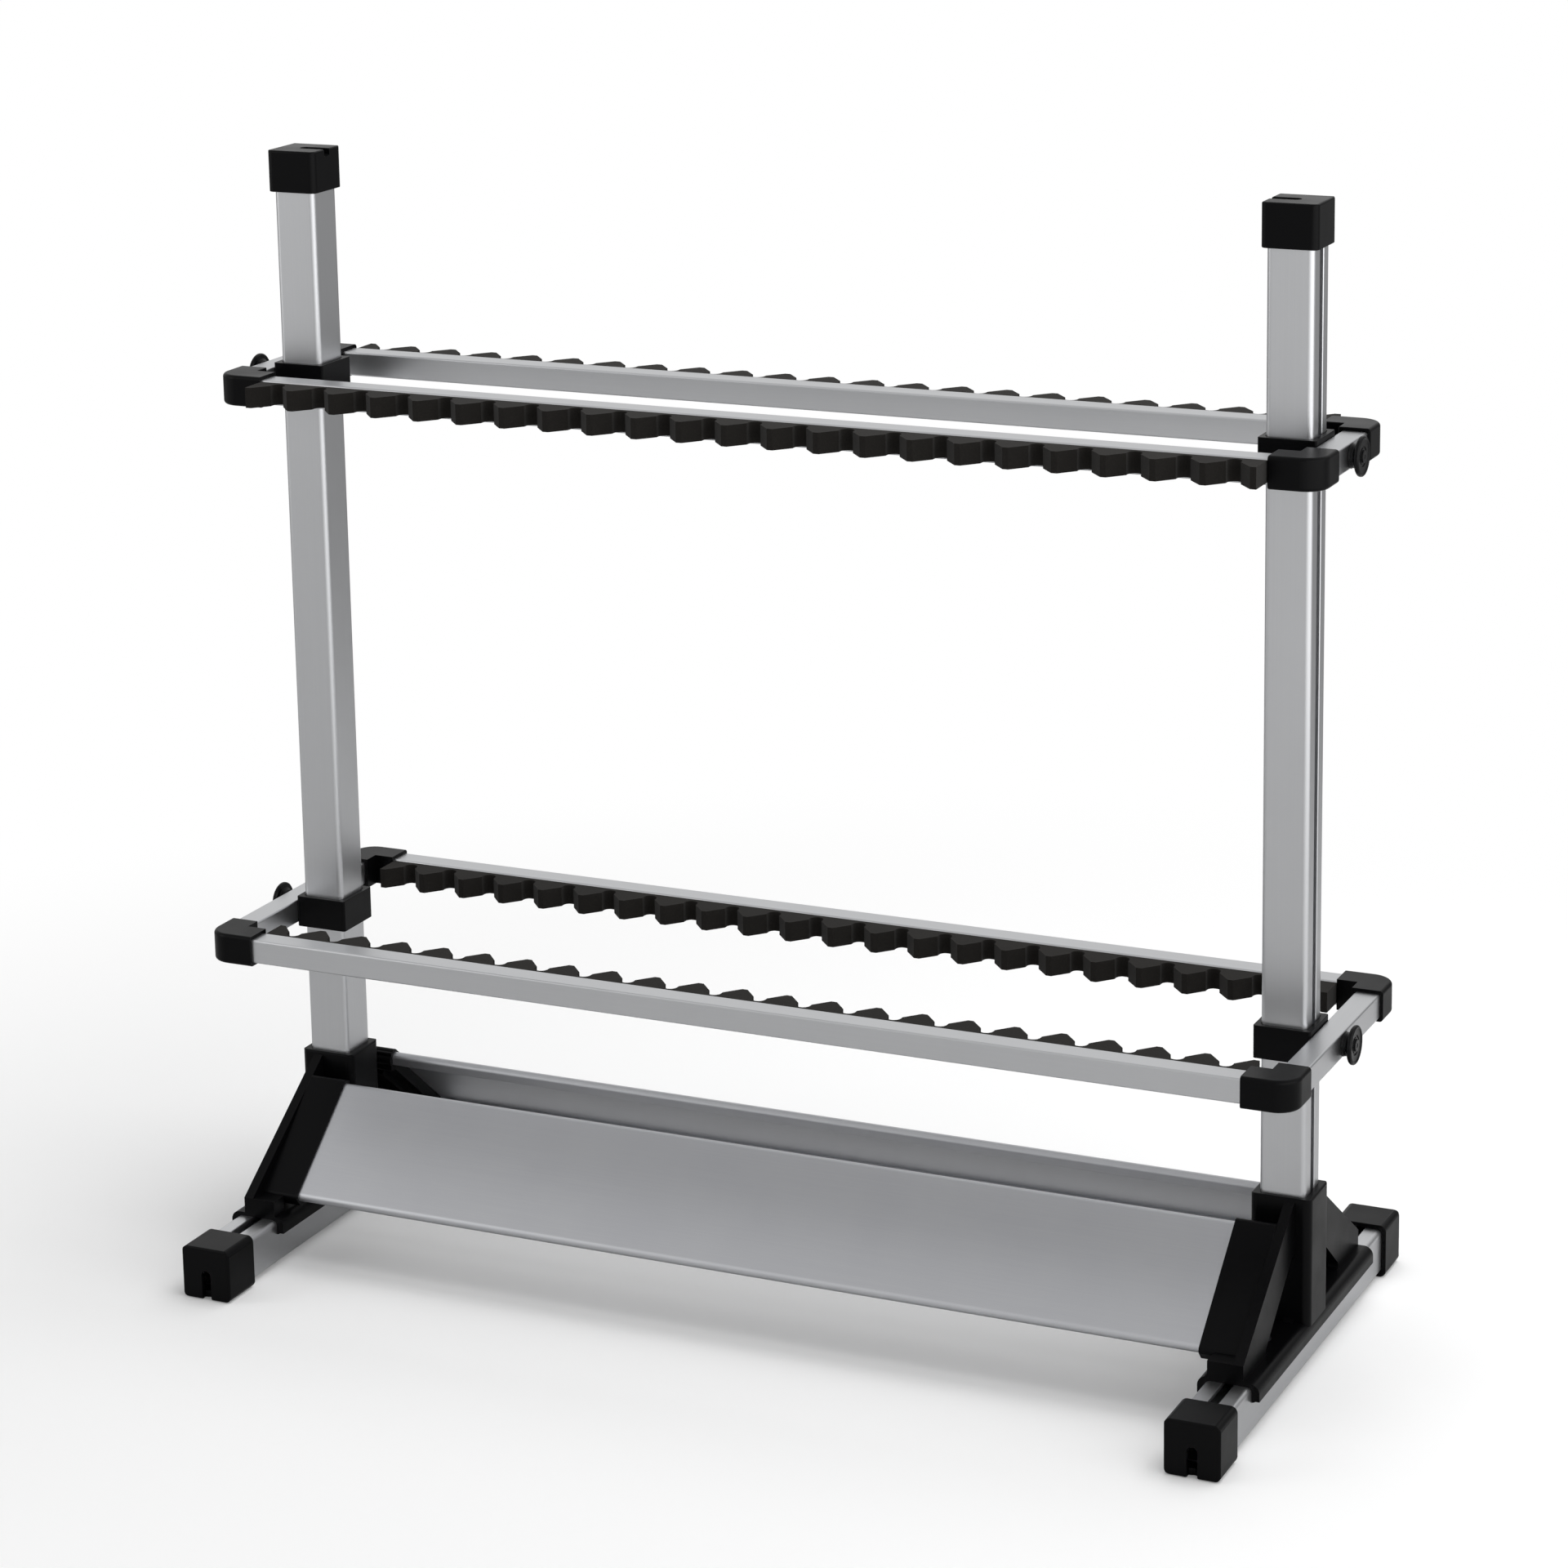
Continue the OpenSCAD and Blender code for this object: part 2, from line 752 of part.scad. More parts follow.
// The upright section of a connector's arm, rounded on its outer side, which lies at x = 0
module arm_section() {
    half = connector_w / 2;
    r = connector_edge_r;
    translate([-connector_w, -half])
        square([connector_w - r, connector_w]);
    translate([-r - cut, -half + r])
        square([r + cut, connector_w - 2 * r]);
    for (z = [-1, 1])
        translate([-r, z * (half - r)])
            circle(r);
}

// The round outer corner of a connector, about the corner's own centre
module corner_section() {
    half = connector_w / 2;
    r = connector_edge_r;
    translate([0, -half])
        square([connector_r - r, connector_w]);
    translate([0, -half + r])
        square([connector_r, connector_w - 2 * r]);
    translate([connector_r - r, half - r])
        circle(r);
    translate([connector_r - r, -half + r])
        circle(r);
}

// A connector whose outer corner lies at the origin, with arms towards -X and -Y
module corner_connector() {
    bore = tube_w + 2 * connector_gap;
    middle = -connector_wall - tube_w / 2;
    difference() {
        union() {
            translate([-connector_arm_x, 0, 0])
                rotate([90, 0, 90])
                    linear_extrude(connector_arm_x - connector_r)
                        arm_section();
            translate([0, -connector_r, 0])
                rotate([90, 0, 0])
                    linear_extrude(connector_arm_y - connector_r)
                        arm_section();
            translate([-connector_r, -connector_r, 0])
                rotate_extrude(angle = 90)
                    corner_section();
        }
        translate([-connector_arm_x - cut, middle - bore / 2, -bore / 2])
            cube([connector_arm_x - connector_w + cut, bore, bore]);
        translate([middle - bore / 2, -connector_arm_y - cut, -bore / 2])
            cube([bore, connector_arm_y - connector_w + cut, bore]);
    }
}

// The connector at the front right of a frame
module frame_connector(depth, height) {
    mirror([0, 1, 0])
        translate([connector_out, depth / 2 + connector_wall, height])
            corner_connector();
}

// A foam comb from above, with its back on y = 0 and its lobes towards -Y
module comb_plan() {
    tip_half = lobe_tip_w / 2;
    wide_half = (notch_pitch - notch_w) / 2;
    notch_half = notch_w / 2;
    difference() {
        union() {
            translate([-comb_half, -mouth_depth])
                square([2 * comb_half, mouth_depth]);
            intersection() {
                translate([-comb_half, -comb_depth])
                    square([2 * comb_half, comb_depth]);
                for (k = [-notch_count / 2 : notch_count / 2])
                    translate([k * notch_pitch, -mouth_depth])
                        polygon([
                            [-wide_half, cut], [-wide_half, 0],
                            [-tip_half, mouth_depth - comb_depth],
                            [tip_half, mouth_depth - comb_depth],
                            [wide_half, 0], [wide_half, cut]
                        ]);
            }
        }
        for (k = [-notch_count / 2 : notch_count / 2 - 1])
            translate([(k + 0.5) * notch_pitch, -comb_back - notch_half]) {
                circle(notch_half);
                translate([-notch_half, -comb_depth])
                    square([notch_w, comb_depth]);
            }
    }
}

// A comb at the given height, with its back on the plane y = place and its lobes forwards
module comb(place, height) {
    translate([0, place, height + tube_w / 2 - comb_drop - comb_height])
        linear_extrude(comb_height)
            comb_plan();
}

// A collar on the right post, seated against the inner face of the side tube
module collar(height) {
    bottom = height - tube_w / 2 - collar_below;
    inside = bar_w + 2 * collar_gap;
    translate([post_x, 0, bottom])
        difference() {
            linear_extrude(tube_w + collar_above + collar_below)
                difference() {
                    round_rect(2 * collar_half, 2 * collar_half, collar_corner_r);
                    round_rect(inside, inside, bar_corner_r);
                }
            translate([bar_half, 0, height - bottom])
                rotate([0, 90, 0])
                    cylinder(r = stud_r + stud_room, h = collar_half);
        }
}

// Puts its children on the clamp's axis at the right post, with Z pointing outwards
module on_clamp(height) {
    translate([post_x, 0, height])
        rotate([0, 90, 0])
            children();
}

// A clamp knob: a neck that flares into a dished disc with a raised rim and a button
module knob(height) {
    disc = knob_height - knob_disc_t;
    floor_z = knob_height - knob_dish;
    groove_top = knob_height + cut;
    on_clamp(height)
        translate([0, 0, knob_seat])
            difference() {
                rotate_extrude() {
                    polygon([
                        [0, 0], [knob_neck_r + knob_foot_flare, 0], [knob_neck_r, knob_edge],
                        [knob_neck_r, disc - knob_neck_flare], [knob_neck_r + knob_neck_flare, disc],
                        [knob_r - knob_edge, disc], [knob_r, disc + knob_edge],
                        [knob_r, knob_height - knob_rim_slope], [knob_r - knob_rim_slope, knob_height],
                        [knob_r - knob_rim_w, floor_z], [0, floor_z]
                    ]);
                    translate([0, floor_z - cut])
                        square([knob_button_r, knob_dish + cut]);
                }
                difference() {
                    translate([0, 0, floor_z - groove_depth])
                        cylinder(r = knob_button_r + groove_out, h = groove_top - floor_z);
                    translate([0, 0, floor_z - groove_depth - cut])
                        cylinder(r = knob_button_r + groove_in, h = groove_top - floor_z + 2 * cut);
                }
                translate([0, 0, -cut])
                    cylinder(r = stud_r, h = stud_in_knob + cut);
            }
}

// The threaded stud of a clamp, from inside the knob to just past the slot nut
module stud(height) {
    tip = nut_in - thread_past_nut;
    on_clamp(height)
        translate([0, 0, tip]) {
            cylinder(r1 = stud_r - stud_bevel, r2 = stud_r, h = stud_bevel);
            translate([0, 0, stud_bevel])
                cylinder(r = stud_r, h = knob_seat + stud_in_knob - tip - stud_bevel);
        }
}

// The slot nut of a clamp, behind the lips of the post's slot
module clamp_nut(height) {
    on_clamp(height)
        translate([0, 0, nut_out])
            slot_nut(stud_r + nut_thread_gap);
}

// Feet, brackets and posts
module left_foot_rail() { color(satin_aluminium) on_side(-1) foot_rail(); }
module right_foot_rail() { color(satin_aluminium) foot_rail(); }
module left_front_foot_cap() { color(black_plastic) on_side(-1) foot_cap(); }
module left_rear_foot_cap() { color(black_plastic) on_side(-1) at_end(-1) foot_cap(); }
module right_front_foot_cap() { color(black_plastic) foot_cap(); }
module right_rear_foot_cap() { color(black_plastic) at_end(-1) foot_cap(); }
module left_base_bracket() { color(black_plastic) on_side(-1) base_bracket(); }
module right_base_bracket() { color(black_plastic) base_bracket(); }
module bracket_screws() { color(dark_steel) for (side = [-1, 1]) on_side(side) bracket_screw_pair(); }
module bracket_slot_nuts() { color(zinc_steel) for (side = [-1, 1]) on_side(side) bracket_nut_pair(); }
module post_screws() { color(dark_steel) for (side = [-1, 1]) on_side(side) post_screw(); }
module left_post() { color(satin_aluminium) on_side(-1) post(); }
module right_post() { color(satin_aluminium) post(); }
module left_post_cap() { color(black_plastic) on_side(-1) post_cap(); }
module right_post_cap() { color(black_plastic) post_cap(); }

// Shelves
module front_shelf() { color(satin_aluminium) shelf(); }
module rear_shelf() { color(satin_aluminium) at_end(-1) shelf(); }
module left_front_shelf_cap() { color(black_plastic) on_side(-1) shelf_cap(); }
module left_rear_shelf_cap() { color(black_plastic) on_side(-1) at_end(-1) shelf_cap(); }
module right_front_shelf_cap() { color(black_plastic) shelf_cap(); }
module right_rear_shelf_cap() { color(black_plastic) at_end(-1) shelf_cap(); }
module shelf_cap_screws() {
    color(dark_steel)
        for (side = [-1, 1], end = [-1, 1])
            on_side(side) at_end(end) shelf_cap_screw();
}

// Upper frame
upper_half = upper_frame_depth / 2;
module upper_front_tube() { color(satin_aluminium) long_tube(upper_frame_depth, upper_frame_height); }
module upper_rear_tube() { color(satin_aluminium) at_end(-1) long_tube(upper_frame_depth, upper_frame_height); }
module upper_left_tube() { color(satin_aluminium) on_side(-1) side_tube(upper_frame_depth, upper_frame_height); }
module upper_right_tube() { color(satin_aluminium) side_tube(upper_frame_depth, upper_frame_height); }
module upper_connector(side, end) {
    color(black_plastic) on_side(side) at_end(end) frame_connector(upper_frame_depth, upper_frame_height);
}
module upper_left_front_connector() { upper_connector(-1, 1); }
module upper_left_rear_connector() { upper_connector(-1, -1); }
module upper_right_front_connector() { upper_connector(1, 1); }
module upper_right_rear_connector() { upper_connector(1, -1); }
module upper_front_comb() { color(black_foam) comb(-upper_half, upper_frame_height); }
module upper_rear_comb() { color(black_foam) at_end(-1) comb(-upper_half, upper_frame_height); }
module upper_left_collar() { color(black_plastic) on_side(-1) collar(upper_frame_height); }
module upper_right_collar() { color(black_plastic) collar(upper_frame_height); }

// Lower frame
lower_half_in = lower_frame_depth / 2 - tube_w;
module lower_front_tube() { color(satin_aluminium) long_tube(lower_frame_depth, lower_frame_height); }
module lower_rear_tube() { color(satin_aluminium) at_end(-1) long_tube(lower_frame_depth, lower_frame_height); }
module lower_left_tube() { color(satin_aluminium) on_side(-1) side_tube(lower_frame_depth, lower_frame_height); }
module lower_right_tube() { color(satin_aluminium) side_tube(lower_frame_depth, lower_frame_height); }
module lower_connector(side, end) {
    color(black_plastic) on_side(side) at_end(end) frame_connector(lower_frame_depth, lower_frame_height);
}
module lower_left_front_connector() { lower_connector(-1, 1); }
module lower_left_rear_connector() { lower_connector(-1, -1); }
module lower_right_front_connector() { lower_connector(1, 1); }
module lower_right_rear_connector() { lower_connector(1, -1); }
module lower_front_comb() { color(black_foam) at_end(-1) comb(lower_half_in, lower_frame_height); }
module lower_rear_comb() { color(black_foam) comb(lower_half_in, lower_frame_height); }
module lower_left_collar() { color(black_plastic) on_side(-1) collar(lower_frame_height); }
module lower_right_collar() { color(black_plastic) collar(lower_frame_height); }

// Clamps
module upper_left_knob() { color(knob_plastic) on_side(-1) knob(upper_frame_height); }
module upper_left_stud() { color(zinc_steel) on_side(-1) stud(upper_frame_height); }
module upper_left_slot_nut() { color(zinc_steel) on_side(-1) clamp_nut(upper_frame_height); }
module upper_right_knob() { color(knob_plastic) knob(upper_frame_height); }
module upper_right_stud() { color(zinc_steel) stud(upper_frame_height); }
module upper_right_slot_nut() { color(zinc_steel) clamp_nut(upper_frame_height); }
module lower_left_knob() { color(knob_plastic) on_side(-1) knob(lower_frame_height); }
module lower_left_stud() { color(zinc_steel) on_side(-1) stud(lower_frame_height); }
module lower_left_slot_nut() { color(zinc_steel) on_side(-1) clamp_nut(lower_frame_height); }
module lower_right_knob() { color(knob_plastic) knob(lower_frame_height); }
module lower_right_stud() { color(zinc_steel) stud(lower_frame_height); }
module lower_right_slot_nut() { color(zinc_steel) clamp_nut(lower_frame_height); }

left_foot_rail();
right_foot_rail();
left_front_foot_cap();
left_rear_foot_cap();
right_front_foot_cap();
right_rear_foot_cap();
left_base_bracket();
right_base_bracket();
bracket_screws();
bracket_slot_nuts();
post_screws();
left_post();
right_post();
left_post_cap();
right_post_cap();
front_shelf();
rear_shelf();
left_front_shelf_cap();
left_rear_shelf_cap();
right_front_shelf_cap();
right_rear_shelf_cap();
shelf_cap_screws();
upper_front_tube();
upper_rear_tube();
upper_left_tube();
upper_right_tube();
upper_left_front_connector();
upper_left_rear_connector();
upper_right_front_connector();
upper_right_rear_connector();
upper_front_comb();
upper_rear_comb();
upper_left_collar();
upper_right_collar();
lower_front_tube();
lower_rear_tube();
lower_left_tube();
lower_right_tube();
lower_left_front_connector();
lower_left_rear_connector();
lower_right_front_connector();
lower_right_rear_connector();
lower_front_comb();
lower_rear_comb();
lower_left_collar();
lower_right_collar();
upper_left_knob();
upper_left_stud();
upper_left_slot_nut();
upper_right_knob();
upper_right_stud();
upper_right_slot_nut();
lower_left_knob();
lower_left_stud();
lower_left_slot_nut();
lower_right_knob();
lower_right_stud();
lower_right_slot_nut();
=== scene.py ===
import json
import math

import bmesh
import bpy
from mathutils import Matrix, Vector

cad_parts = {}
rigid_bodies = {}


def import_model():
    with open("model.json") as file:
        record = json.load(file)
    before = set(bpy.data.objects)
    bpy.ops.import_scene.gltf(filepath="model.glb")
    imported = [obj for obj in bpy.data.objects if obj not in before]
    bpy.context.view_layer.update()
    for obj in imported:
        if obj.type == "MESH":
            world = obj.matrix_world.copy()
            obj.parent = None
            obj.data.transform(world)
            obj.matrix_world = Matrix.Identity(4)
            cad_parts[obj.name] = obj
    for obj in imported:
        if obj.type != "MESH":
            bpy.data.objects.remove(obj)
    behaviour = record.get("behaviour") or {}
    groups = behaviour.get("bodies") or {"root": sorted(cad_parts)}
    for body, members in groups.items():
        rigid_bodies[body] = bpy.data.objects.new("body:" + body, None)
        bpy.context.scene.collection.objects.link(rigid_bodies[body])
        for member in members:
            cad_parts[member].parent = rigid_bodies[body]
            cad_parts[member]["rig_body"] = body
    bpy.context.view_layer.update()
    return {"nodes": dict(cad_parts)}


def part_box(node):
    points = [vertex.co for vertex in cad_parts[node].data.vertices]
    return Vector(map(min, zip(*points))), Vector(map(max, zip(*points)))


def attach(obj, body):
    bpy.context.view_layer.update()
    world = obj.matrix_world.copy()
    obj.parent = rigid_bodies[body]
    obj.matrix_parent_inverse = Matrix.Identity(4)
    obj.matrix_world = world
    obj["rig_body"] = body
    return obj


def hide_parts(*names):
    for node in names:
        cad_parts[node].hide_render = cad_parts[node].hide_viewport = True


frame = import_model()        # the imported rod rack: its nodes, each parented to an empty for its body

scene = bpy.context.scene
scene.view_settings.view_transform = "Standard"


def linearColour(code):
    # sRGB hex to the linear values that shaders work in, opaque
    parts = [int(code[i:i + 2], 16) / 255 for i in (1, 3, 5)]
    return tuple(p / 12.92 if p <= 0.04045 else ((p + 0.055) / 1.055) ** 2.4 for p in parts) + (1.0,)


def addNode(tree, kind, settings=None, links=None):
    # one node: settings are input values by name or number, or the node's own options
    node = tree.nodes.new(kind)
    for name, value in (settings or {}).items():
        if isinstance(name, int) or name in node.inputs:
            node.inputs[name].default_value = value
        else:
            setattr(node, name, value)
    for name, source in (links or {}).items():
        tree.links.new(source, node.inputs[name])
    return node


def millimetres(value):
    return value / 1000


plainWhite = linearColour("#ffffff")


# Camera: stands where the photograph was taken from, a little right of the middle and above the rack
cameraSettings = {
    "place": (1.0204, -2.1869, 1.0291),
    "azimuth": 24.96,     # degrees to the right of straight on
    "elevation": 12.5,    # degrees that it looks down
    "roll": -0.98,        # degrees
    "lens": 98.6,         # mm
    "sensor": 36.0,       # mm
    "shiftUp": -0.1972,   # the photograph is the lower part of a taller frame
    "clipEnd": 60.0,      # metres
}


def placeCamera(settings):
    turn, tilt, roll = (math.radians(settings[k]) for k in ("azimuth", "elevation", "roll"))
    back = Vector((math.sin(turn) * math.cos(tilt), -math.cos(turn) * math.cos(tilt), math.sin(tilt)))
    level = Vector((math.cos(turn), math.sin(turn), 0))
    upright = back.cross(level)
    right = math.cos(roll) * level + math.sin(roll) * upright
    up = back.cross(right)
    data = bpy.data.cameras.new("photographCamera")
    data.sensor_width = settings["sensor"]
    data.lens = settings["lens"]
    data.shift_y = settings["shiftUp"]
    data.clip_end = settings["clipEnd"]
    camera = bpy.data.objects.new("photographCamera", data)
    scene.collection.objects.link(camera)
    pose = Matrix((right, up, back)).transposed().to_4x4()
    pose.translation = settings["place"]
    camera.matrix_world = pose
    scene.camera = camera


placeCamera(cameraSettings)

# Studio: a big soft box overhead, a weak one on the left, a wide one on the right and a white paper floor
studioSettings = {
    "lamps": {
        # name: (place, size, watts, point it faces, whether metal and plastic mirror it)
        "softBoxOverhead": ((0.5, 0.45, 2.1), (2.2, 1.8), 36, (0, 0, 0.1), False),
        "softBoxLeft": ((-2.3, -1.6, 1.2), (1.4, 2.0), 12, (0, 0, 0.3), True),
        "softBoxRight": ((2.3, -1.0, 1.2), (4.4, 2.4), 33, (0, 0, 0.3), True),
    },
    "roomGrey": "#dedede",      # the room on the camera's side
    "sweepBlend": (-0.9, 0.5),  # where that grey turns into the white sweep, along rear plus right
    "roomLight": 0.40,          # the white sweep and the room, as they light the rack and the floor
    "roomInGloss": 0.84,        # the same as metal and plastic mirror them
    "darkWay": (0.42, 0.89, -0.16),    # behind on the right the studio is unlit, as the right-hand faces show
    "darkInGloss": 0.24,
    "darkReach": (0.70, 0.93),  # how near to that way the light falls off
    "floorReach": 14.0,         # metres from the middle to the paper's edge
    "floorDrop": 0.3,           # mm under the feet, so that they don't share its plane
    "paper": "#ececec",
    "paperLift": 0.12,          # what the white sweep adds for the camera
    "paperInGloss": "#cacaca",  # the near paper as the metal mirrors it, with the rack's shade on it
    "farInGloss": (0.54, 1.50),    # the far paper on the left, and on the right under the wide lamp
    "farAcross": (1.0, -0.25, 0.0),    # the way from the one to the other
    "farBlend": (-0.3, 1.9),    # metres that way over which the one becomes the other
    "backFade": (0.2, 0.9),     # metres to the rear over which the paper falls into the unlit part
    "backInGloss": 0.35,
    "glossReach": (0.6, 2.0),   # metres over which near becomes far
    "shadowReach": (0.45, 1.05),   # metres from the middle over which the shadow fades to white paper
}


def lightStudio(settings):
    for name, (place, size, watts, aim, mirrored) in settings["lamps"].items():
        lamp = bpy.data.lights.new(name, "AREA")
        lamp.shape = "RECTANGLE"
        lamp.size, lamp.size_y = size
        lamp.energy = watts
        box = bpy.data.objects.new(name, lamp)
        box.visible_glossy = mirrored
        box.location = place
        box.rotation_euler = (Vector(aim) - Vector(place)).to_track_quat("-Z", "Y").to_euler()
        scene.collection.objects.link(box)

    world = bpy.data.worlds.new("whiteStudio")
    scene.world = world
    world.use_nodes = True
    tree = world.node_tree
    tree.nodes.clear()
    where = addNode(tree, "ShaderNodeTexCoord")
    axes = addNode(tree, "ShaderNodeSeparateXYZ", {}, {"Vector": where.outputs["Generated"]})
    # white sweep behind and on the right, grey room in front
    sweep = addNode(tree, "ShaderNodeMath", {"operation": "ADD"},
                    {0: axes.outputs["Y"], 1: axes.outputs["X"]})
    blend = addNode(tree, "ShaderNodeMapRange", {"From Min": settings["sweepBlend"][0],
                                                 "From Max": settings["sweepBlend"][1],
                                                 "interpolation_type": "SMOOTHSTEP"},
                    {"Value": sweep.outputs["Value"]})
    tone = addNode(tree, "ShaderNodeMix", {"data_type": "RGBA", 6: linearColour(settings["roomGrey"]),
                                           7: plainWhite}, {0: blend.outputs["Result"]})
    light = addNode(tree, "ShaderNodeBackground", {"Strength": settings["roomLight"]},
                    {"Color": tone.outputs[2]})
    toDark = addNode(tree, "ShaderNodeVectorMath", {"operation": "DOT_PRODUCT", 1: settings["darkWay"]},
                     {0: where.outputs["Generated"]})
    strength = addNode(tree, "ShaderNodeMapRange", {"From Min": settings["darkReach"][0],
                                                    "From Max": settings["darkReach"][1],
                                                    "To Min": settings["roomInGloss"],
                                                    "To Max": settings["darkInGloss"],
                                                    "interpolation_type": "SMOOTHSTEP"},
                       {"Value": toDark.outputs["Value"]})
    gloss = addNode(tree, "ShaderNodeBackground", {},
                    {"Color": tone.outputs[2], "Strength": strength.outputs["Result"]})
    seen = addNode(tree, "ShaderNodeBackground", {"Color": plainWhite, "Strength": 1.0})
    rays = addNode(tree, "ShaderNodeLightPath")
    room = addNode(tree, "ShaderNodeMixShader", {}, {0: rays.outputs["Is Glossy Ray"],
                                                     1: light.outputs[0], 2: gloss.outputs[0]})
    pick = addNode(tree, "ShaderNodeMixShader", {}, {0: rays.outputs["Is Camera Ray"],
                                                     1: room.outputs[0], 2: seen.outputs[0]})
    addNode(tree, "ShaderNodeOutputWorld", {}, {"Surface": pick.outputs[0]})


def layFloor(settings):
    reach, low = settings["floorReach"], -millimetres(settings["floorDrop"])
    paper = bpy.data.meshes.new("paperFloor")
    corners = [(-reach, -reach, low), (reach, -reach, low), (reach, reach, low), (-reach, reach, low)]
    paper.from_pydata(corners, [], [(0, 1, 2, 3)])
    floor = bpy.data.objects.new("paperFloor", paper)
    scene.collection.objects.link(floor)
    material = bpy.data.materials.new("White seamless paper")
    material.use_nodes = True
    tree = material.node_tree
    tree.nodes.clear()
    place = addNode(tree, "ShaderNodeTexCoord")
    far = addNode(tree, "ShaderNodeVectorMath", {"operation": "LENGTH"}, {0: place.outputs["Object"]})
    fade = addNode(tree, "ShaderNodeMapRange", {"From Min": settings["shadowReach"][0],
                                                "From Max": settings["shadowReach"][1],
                                                "interpolation_type": "SMOOTHSTEP"},
                   {"Value": far.outputs["Value"]})
    matt = addNode(tree, "ShaderNodeBsdfDiffuse", {"Color": linearColour(settings["paper"])})
    lift = addNode(tree, "ShaderNodeEmission", {"Color": plainWhite, "Strength": settings["paperLift"]})
    near = addNode(tree, "ShaderNodeAddShader", {}, {0: matt.outputs[0], 1: lift.outputs[0]})
    white = addNode(tree, "ShaderNodeEmission", {"Color": plainWhite, "Strength": 1.0})
    seen = addNode(tree, "ShaderNodeMixShader", {}, {0: fade.outputs["Result"], 1: near.outputs[0],
                                                     2: white.outputs[0]})
    rays = addNode(tree, "ShaderNodeLightPath")
    anyRay = addNode(tree, "ShaderNodeMath", {"operation": "MAXIMUM"},
                     {0: rays.outputs["Is Camera Ray"], 1: rays.outputs["Is Transmission Ray"]})
    # as the metal mirrors it, the near paper is a darker copy of itself: painted shade of the rack
    dim = addNode(tree, "ShaderNodeBsdfDiffuse", {"Color": linearColour(settings["paperInGloss"])})
    away = addNode(tree, "ShaderNodeMapRange", {"From Min": settings["glossReach"][0],
                                                "From Max": settings["glossReach"][1],
                                                "interpolation_type": "SMOOTHSTEP"},
                   {"Value": far.outputs["Value"]})
    across = addNode(tree, "ShaderNodeVectorMath", {"operation": "DOT_PRODUCT", 1: settings["farAcross"]},
                     {0: place.outputs["Object"]})
    bright = addNode(tree, "ShaderNodeMapRange", {"From Min": settings["farBlend"][0],
                                                  "From Max": settings["farBlend"][1],
                                                  "To Min": settings["farInGloss"][0],
                                                  "To Max": settings["farInGloss"][1],
                                                  "interpolation_type": "SMOOTHSTEP"},
                     {"Value": across.outputs["Value"]})
    axes = addNode(tree, "ShaderNodeSeparateXYZ", {}, {"Vector": place.outputs["Object"]})
    back = addNode(tree, "ShaderNodeMapRange", {"From Min": settings["backFade"][0],
                                                "From Max": settings["backFade"][1],
                                                "To Min": 1.0, "To Max": settings["backInGloss"],
                                                "interpolation_type": "SMOOTHSTEP"},
                   {"Value": axes.outputs["Y"]})
    level = addNode(tree, "ShaderNodeMath", {"operation": "MULTIPLY"},
                    {0: bright.outputs["Result"], 1: back.outputs["Result"]})
    # the far paper as the metal mirrors it is an emission, not lit paper: painted light, brightest under the
    # wide lamp on the right, and painted shade towards the rear
    glow = addNode(tree, "ShaderNodeEmission", {"Color": plainWhite}, {"Strength": level.outputs["Value"]})
    gloss = addNode(tree, "ShaderNodeMixShader", {}, {0: away.outputs["Result"], 1: dim.outputs[0],
                                                      2: glow.outputs[0]})
    mirrored = addNode(tree, "ShaderNodeMixShader", {}, {0: rays.outputs["Is Glossy Ray"], 1: matt.outputs[0],
                                                         2: gloss.outputs[0]})
    pick = addNode(tree, "ShaderNodeMixShader", {}, {0: anyRay.outputs["Value"], 1: mirrored.outputs[0],
                                                     2: seen.outputs[0]})
    addNode(tree, "ShaderNodeOutputMaterial", {}, {"Surface": pick.outputs[0]})
    paper.materials.append(material)


lightStudio(studioSettings)
layFloor(studioSettings)
print("camera, lamps and floor are set")


def startFinish(name):
    # an empty material with its surface shader, the place on the piece in metres, and an output
    material = bpy.data.materials.new(name)
    material.use_nodes = True
    tree = material.node_tree
    tree.nodes.clear()
    shader = addNode(tree, "ShaderNodeBsdfPrincipled")
    addNode(tree, "ShaderNodeOutputMaterial", {}, {"Surface": shader.outputs["BSDF"]})
    place = addNode(tree, "ShaderNodeTexCoord").outputs["Object"]
    return material, tree, shader, place


# Extruded aluminium, satin anodised: matt silver with a soft sheen and faint die lines along the bar
extrudedSettings = {
    "colour": "#cccdcf", "colourDeep": "#c9cacc",
    "roughness": (0.345, 0.36),
    "dieLineSpacing": 0.7,     # mm between die lines, drawn coarser than the real 0.2 mm so that they show
    "dieLineLength": 240.0,    # mm over which a line runs on
    "dieLineDepth": 0.0002,    # mm
    "dieLineStrength": 0.6,
    "cloudSize": 60.0,         # mm, soft patches that etching leaves
    "toneSpread": (0.7, 1.3),  # of lines and clouds together, from the one colour to the other
    "glossSpread": (0.3, 0.7), # of the lines, from the one roughness to the other
}


